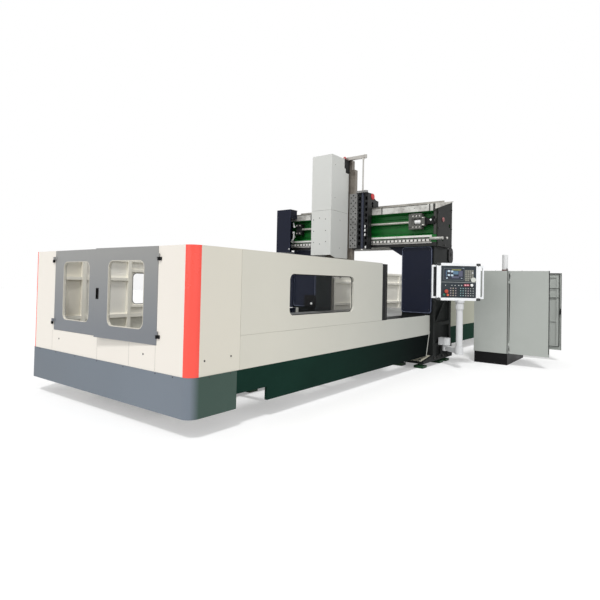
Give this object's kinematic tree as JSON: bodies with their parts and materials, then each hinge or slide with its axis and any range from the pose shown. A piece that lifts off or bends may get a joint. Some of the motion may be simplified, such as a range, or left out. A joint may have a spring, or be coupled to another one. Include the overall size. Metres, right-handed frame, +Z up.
{
  "type": "cnc gantry milling machine",
  "caption": "Gantry milling machine with a long moving table, cross saddle and ram on a beam, sheet guarding with front doors, control pendant and switch cabinet.",
  "frame": {"origin": "on the floor at the centre of the gantry, under the middle levelling pad of the bed", "axes": "+Z up, +Y from the front doors to the rear end, +X to the side of the pendant and cabinet"},
  "size_m": [5.697, 13.2721, 4.3765],
  "materials": {
    "painted_green": "satin enamel",
    "dark_green": "satin enamel",
    "cream": "fine-texture powder coat",
    "door_grey": "satin powder coat",
    "skirt_grey": "satin powder coat",
    "coral_red": "satin powder coat",
    "navy": "satin enamel",
    "cast_dark": "dark enamel over cast iron",
    "black": "black enamel",
    "ground_steel": "ground",
    "ram_steel": "scraped and oiled",
    "housing_grey": "grey enamel",
    "cover_grey": "light grey powder coat",
    "cabinet_grey": "textured powder coat",
    "clear": "clear",
    "light_metal": "light grey enamel",
    "aluminium": "anodised",
    "panel": "matte membrane",
    "lamp": "matte"
  },
  "bodies": {
    "base": {"bed": "cast_dark", "levelling_pads": "dark_green", "left_column": "cast_dark", "right_column": "cast_dark", "beam": "painted_green", "beam_rails": "ground_steel", "cross_screw": "ground_steel", "screw_housings": "housing_grey", "cross_motor": "black", "top_tray": "ground_steel", "beam_end_plates": "cast_dark", "beam_gussets": "navy", "column_covers": "navy", "left_cable_cover": "navy", "front_skirt": "skirt_grey", "corner_strips": "coral_red", "front_left_panel": "cream", "front_right_panel": "cream", "front_sill": "cream", "door_hinges": "black", "side_bases": "dark_green", "lower_panels": "cream", "right_upper_panel": "cream", "left_upper_panel": "cream", "side_panes": "clear", "end_posts": "black", "inner_frames": "cream", "rear_panels": "cream", "rear_bases": "dark_green", "rear_end": "cream", "cabinet": "cabinet_grey", "cabinet_plinth": "black", "cabinet_fittings": "housing_grey", "cabinet_lamp": "lamp", "pendant_pivot": "light_metal"},
    "table": {"table": "ground_steel"},
    "saddle": {"saddle": "cast_dark", "gib_plates": "ground_steel", "balance_cylinders": "cast_dark"},
    "ram": {"balance_rods": "ground_steel", "ram": "ram_steel", "ram_cover": "cover_grey", "ram_drive": "black"},
    "spindle": {"spindle": "ground_steel"},
    "left_door": {"left_door": "door_grey", "left_door_pane": "clear"},
    "right_door": {"right_door": "door_grey", "right_door_pane": "clear", "door_handle": "black"},
    "cabinet_near_door": {"cabinet_near_door": "cabinet_grey"},
    "cabinet_far_door": {"cabinet_far_door": "cabinet_grey"},
    "pendant_arm": {"pendant_arm": "light_metal"},
    "pendant": {"pendant_pole": "light_metal", "pendant_box": "aluminium", "pendant_panel": "panel", "pendant_handles": "aluminium"}
  },
  "joints": [
    {"name": "table_slide", "type": "slide", "parent": "base", "child": "table", "axis": [0, 1, 0], "range_m": [-3, 3]},
    {"name": "saddle_slide", "type": "slide", "parent": "base", "child": "saddle", "axis": [1, 0, 0], "range_m": [-0.52, 1.1]},
    {"name": "ram_slide", "type": "slide", "parent": "saddle", "child": "ram", "axis": [0, 0, 1], "range_m": [-0.62, 0.25]},
    {"name": "spindle_turn", "type": "hinge", "parent": "ram", "child": "spindle", "pos_m": [-0.288, -0.8605, 1.8], "axis": [0, 0, 1], "continuous": true},
    {"name": "left_door_hinge", "type": "hinge", "parent": "base", "child": "left_door", "pos_m": [-1.107, -6.6135, 1.4], "axis": [0, 0, 1], "range_deg": [-104, 0]},
    {"name": "right_door_hinge", "type": "hinge", "parent": "base", "child": "right_door", "pos_m": [1.175, -6.6135, 1.4], "axis": [0, 0, 1], "range_deg": [-3.5, 100]},
    {"name": "cabinet_near_hinge", "type": "hinge", "parent": "base", "child": "cabinet_near_door", "pos_m": [2.932, 0.658, 1.1], "axis": [0, 0, 1], "range_deg": [-30, 90]},
    {"name": "cabinet_far_hinge", "type": "hinge", "parent": "base", "child": "cabinet_far_door", "pos_m": [2.932, 2.122, 1.1], "axis": [0, 0, 1], "range_deg": [-90, 30]},
    {"name": "pendant_arm_hinge", "type": "hinge", "parent": "base", "child": "pendant_arm", "pos_m": [1.91, -0.15, 0.42], "axis": [0, 0, 1], "range_deg": [-5, 40]},
    {"name": "pendant_swivel", "type": "hinge", "parent": "pendant_arm", "child": "pendant", "pos_m": [2.28, -0.45, 0.4], "axis": [0, 0, 1], "range_deg": [-10, 60]}
  ]
}
